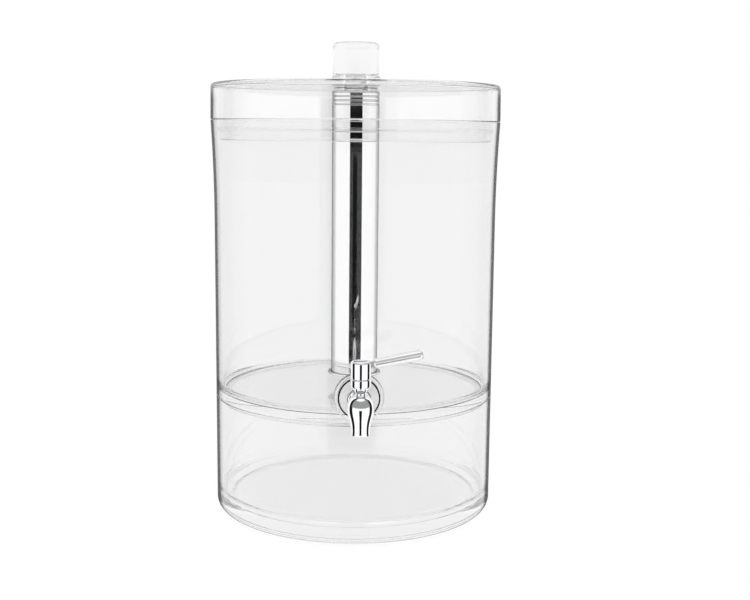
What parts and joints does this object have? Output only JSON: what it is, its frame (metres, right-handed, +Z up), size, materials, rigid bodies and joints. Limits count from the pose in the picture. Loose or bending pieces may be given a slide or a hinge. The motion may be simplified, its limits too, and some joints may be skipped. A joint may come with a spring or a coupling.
{
  "type": "beverage dispenser jar",
  "caption": "Clear cylindrical drinks dispenser on a clear pedestal, with a lift-off lid and knob, a hanging polished ice tube and a chrome lever tap low on the front.",
  "frame": {"origin": "on the jar's axis at the underside of the pedestal", "axes": "+Z up along the jar's axis, -Y towards the tap, +X along the tap's lever"},
  "size_m": [0.241, 0.2856, 0.3925],
  "materials": {
    "clear_acrylic": "clear, polished",
    "clear_silicone": "translucent, satin",
    "polished_steel": "mirror-polished stainless steel",
    "chrome": "bright chrome plate",
    "steel": "turned",
    "spring_steel": "drawn wire",
    "seal_rubber": "matte black"
  },
  "bodies": {
    "pedestal": {"pedestal": "clear_acrylic"},
    "tank": {"tank": "clear_acrylic", "tank_ring": "clear_acrylic", "outer_tap_pad": "clear_acrylic", "inner_tap_pad": "clear_acrylic", "tap_body": "chrome", "tap_flange": "chrome", "tap_outer_gasket": "clear_silicone", "tap_inner_gasket": "clear_silicone", "tap_back_washer": "steel", "tap_nut": "steel", "tap_bonnet": "chrome", "gland_ring": "chrome", "stem_o_ring": "seal_rubber", "tap_spring": "spring_steel"},
    "lid": {"lid_cap": "clear_acrylic", "lid_inner_ring": "clear_acrylic", "lid_seal": "clear_silicone", "knob": "clear_acrylic", "knob_collar": "clear_acrylic", "knob_washer": "clear_silicone", "tube_cap_washer": "clear_silicone", "tube_cap": "polished_steel"},
    "tube_seal": {"tube_seal": "clear_silicone"},
    "ice_tube": {"ice_tube": "polished_steel", "tube_base": "polished_steel"},
    "tap_head": {"tap_head": "chrome"},
    "valve": {"valve_stem": "steel", "valve_washer": "seal_rubber", "lever_pin": "steel"},
    "lever": {"tap_lever": "chrome"}
  },
  "joints": [
    {"name": "tank_lift", "type": "slide", "parent": "pedestal", "child": "tank", "axis": [0, 0, 1], "range_m": [0, 0.1]},
    {"name": "lid_lift", "type": "slide", "parent": "tank", "child": "lid", "axis": [0, 0, 1], "range_m": [0, 0.24]},
    {"name": "tube_drop", "type": "slide", "parent": "lid", "child": "tube_seal", "axis": [0, 0, -1], "range_m": [0, 0.008]},
    {"name": "tube_turn", "type": "hinge", "parent": "tube_seal", "child": "ice_tube", "pos_m": [0, 0, 0.3405], "axis": [0, 0, -1], "range_deg": [0, 1440]},
    {"name": "tap_swivel", "type": "hinge", "parent": "tank", "child": "tap_head", "pos_m": [0, -0.155, 0.1422], "axis": [0, 0, 1], "range_deg": [-225, 45]},
    {"name": "valve_lift", "type": "slide", "parent": "tap_head", "child": "valve", "axis": [0, 0, 1], "range_m": [0, 0.0021], "stiffness_N_per_m": 300, "springref_m": -0.006, "deforming": ["tap_spring"]},
    {"name": "lever_tilt", "type": "hinge", "parent": "valve", "child": "lever", "pos_m": [0, -0.155, 0.1515], "axis": [0, -1, 0], "range_deg": [0, 80]}
  ],
  "couplings": [
    {"joint": "tube_drop", "follows": "tube_turn", "m_per_rad": 0.0003183},
    {"joint": "valve_lift", "follows": "lever_tilt", "m_per_rad": 0.0015}
  ]
}
